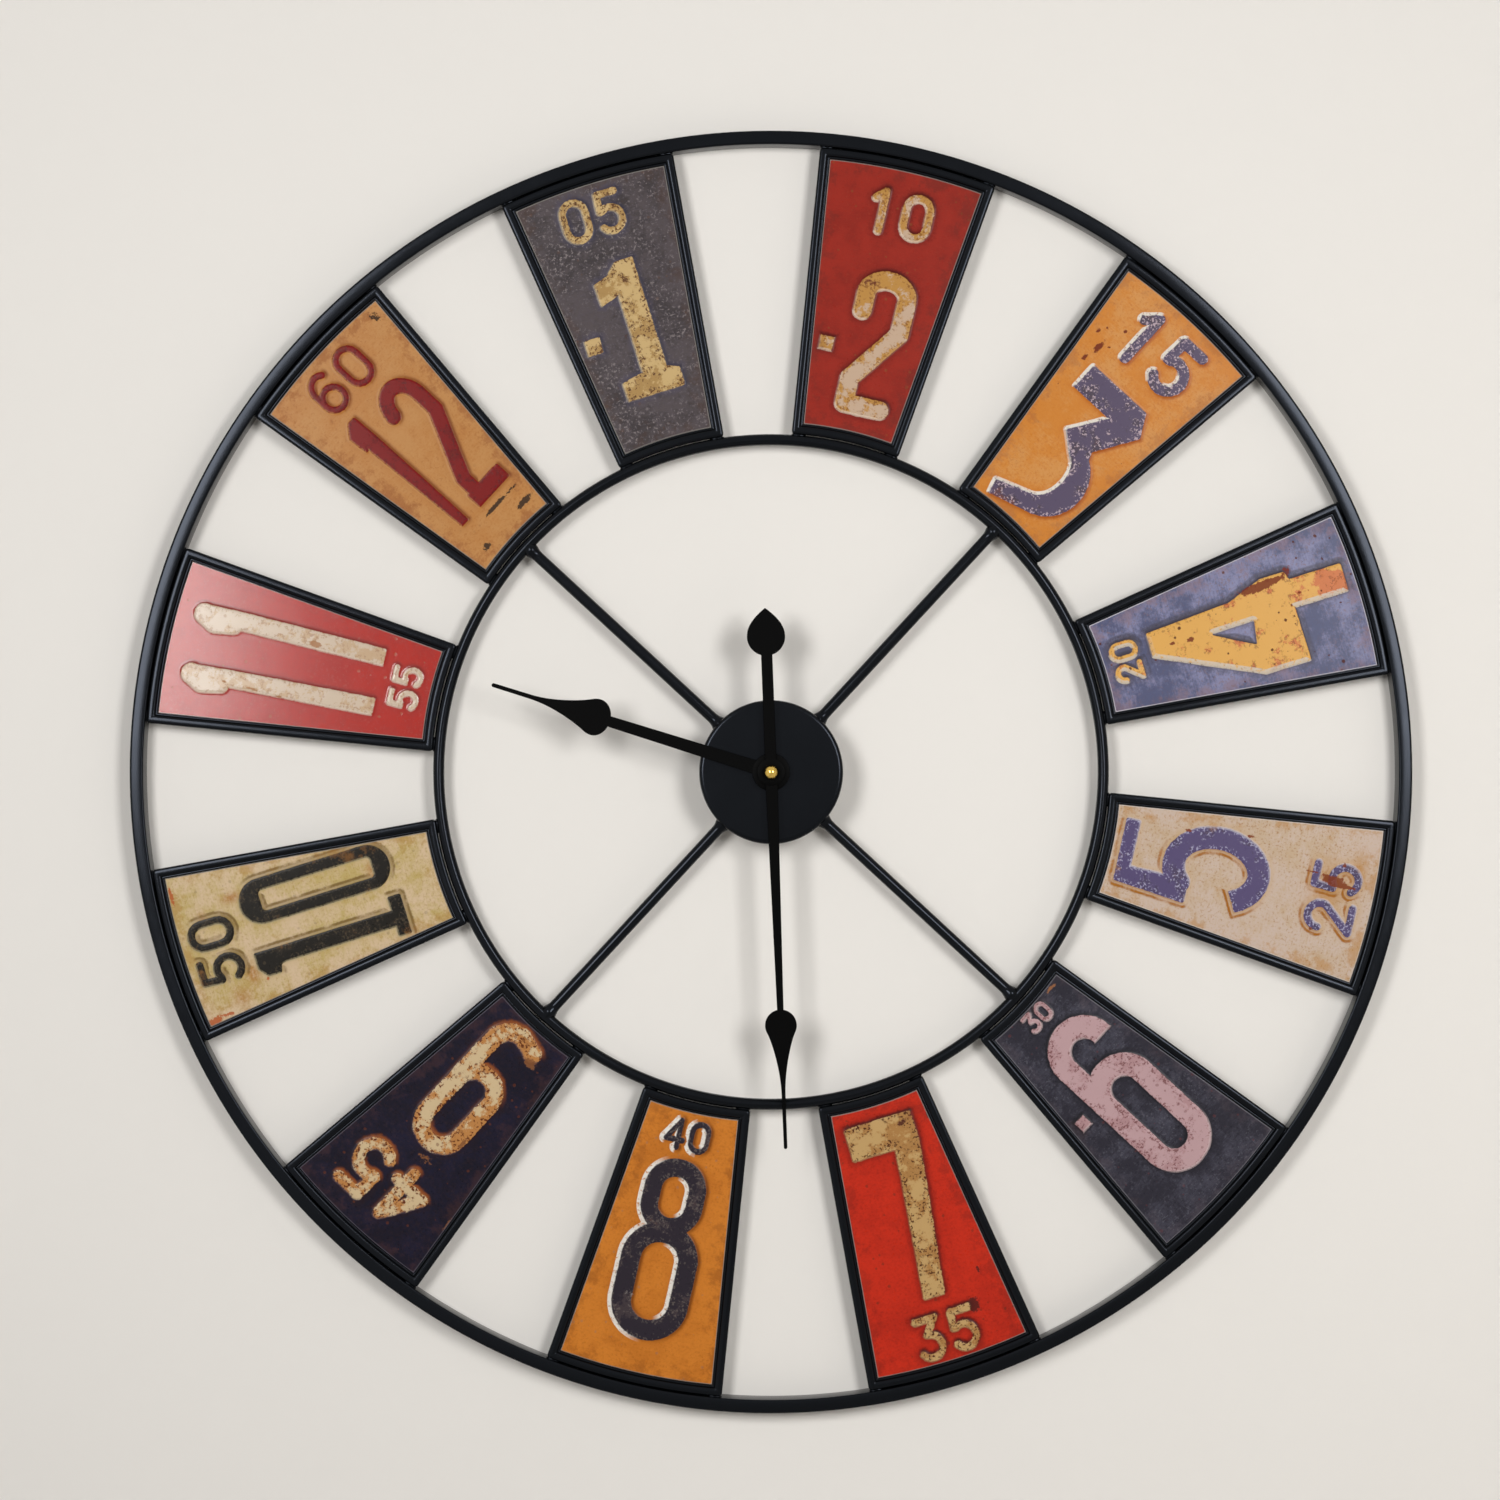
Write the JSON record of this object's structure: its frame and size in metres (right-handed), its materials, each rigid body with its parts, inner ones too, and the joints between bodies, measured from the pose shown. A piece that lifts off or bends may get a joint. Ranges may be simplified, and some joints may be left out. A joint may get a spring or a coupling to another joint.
{
  "type": "wall clock",
  "caption": "Round skeleton wall clock: two steel rings, wedge trays with printed number plates, rod-hung hub with quartz movement, spade hands and a keyhole hanger.",
  "frame": {"origin": "on the clock's axis, in the plane of the wall that the back of the outer ring rests on", "axes": "+Z to 12 o'clock, -Y towards the viewer, +X to 3 o'clock; +Y is the clock's axis, into the wall"},
  "size_m": [0.8, 0.044, 0.8],
  "materials": {
    "black_paint": "satin black powder coat",
    "hand_paint": "matt black",
    "brass": "polished",
    "steel": "plain",
    "case_plastic": "moulded",
    "wheel_plastic": "moulded",
    "rubber": "matt",
    "coil_wire": "enamelled copper winding",
    "board_green": "solder mask",
    "cell_sleeve": "plain sleeve",
    "plate_print_01": "printed fibreboard, satin, aged print",
    "plate_print_02": "printed fibreboard, satin, aged print",
    "plate_print_03": "printed fibreboard, satin, aged print",
    "plate_print_04": "printed fibreboard, satin, aged print",
    "plate_print_05": "printed fibreboard, satin, aged print",
    "plate_print_06": "printed fibreboard, satin, aged print",
    "plate_print_07": "printed fibreboard, satin, aged print",
    "plate_print_08": "printed fibreboard, satin, aged print",
    "plate_print_09": "printed fibreboard, satin, aged print",
    "plate_print_10": "printed fibreboard, satin, aged print",
    "plate_print_11": "printed fibreboard, satin, aged print",
    "plate_print_12": "printed fibreboard, satin, aged print"
  },
  "bodies": {
    "clock_frame": {"outer_ring": "black_paint", "inner_ring": "black_paint", "strut_12": "black_paint", "strut_03": "black_paint", "strut_06": "black_paint", "strut_09": "black_paint", "hub_cup": "black_paint", "tray_01": "black_paint", "tray_02": "black_paint", "tray_03": "black_paint", "tray_04": "black_paint", "tray_05": "black_paint", "tray_06": "black_paint", "tray_07": "black_paint", "tray_08": "black_paint", "tray_09": "black_paint", "tray_10": "black_paint", "tray_11": "black_paint", "tray_12": "black_paint", "number_plate_01": "plate_print_01", "number_plate_02": "plate_print_02", "number_plate_03": "plate_print_03", "number_plate_04": "plate_print_04", "number_plate_05": "plate_print_05", "number_plate_06": "plate_print_06", "number_plate_07": "plate_print_07", "number_plate_08": "plate_print_08", "number_plate_09": "plate_print_09", "number_plate_10": "plate_print_10", "number_plate_11": "plate_print_11", "number_plate_12": "plate_print_12", "hanger_bracket": "black_paint", "movement_case": "case_plastic", "movement_cover": "case_plastic", "threaded_bush": "brass", "rubber_washer": "rubber", "brass_washer": "brass", "fixing_nut": "brass", "motor_capsule": "wheel_plastic", "drive_coil": "coil_wire", "circuit_board": "board_green", "contact_plus": "steel", "contact_minus": "steel"},
    "minute_hand": {"minute_hand": "hand_paint", "cap_nut": "brass", "minute_arbor": "steel"},
    "hour_hand": {"hour_hand": "hand_paint", "hour_wheel": "wheel_plastic"},
    "setting_knob": {"minute_wheel": "wheel_plastic", "setting_knob": "case_plastic"},
    "battery": {"battery": "cell_sleeve"}
  },
  "joints": [
    {"name": "minute_hand_turn", "type": "hinge", "parent": "clock_frame", "child": "minute_hand", "pos_m": [0, 0, 0], "axis": [0, 1, 0], "continuous": true},
    {"name": "hour_hand_turn", "type": "hinge", "parent": "clock_frame", "child": "hour_hand", "pos_m": [0, 0, 0], "axis": [0, 1, 0], "continuous": true},
    {"name": "setting_knob_turn", "type": "hinge", "parent": "clock_frame", "child": "setting_knob", "pos_m": [0.00771, 0, 0.00919], "axis": [0, 1, 0], "continuous": true},
    {"name": "battery_slide", "type": "slide", "parent": "clock_frame", "child": "battery", "axis": [0, 1, 0], "range_m": [0, 0.016]}
  ],
  "couplings": [
    {"joint": "hour_hand_turn", "follows": "minute_hand_turn", "ratio": 0.083333},
    {"joint": "setting_knob_turn", "follows": "minute_hand_turn", "ratio": -0.33333}
  ]
}
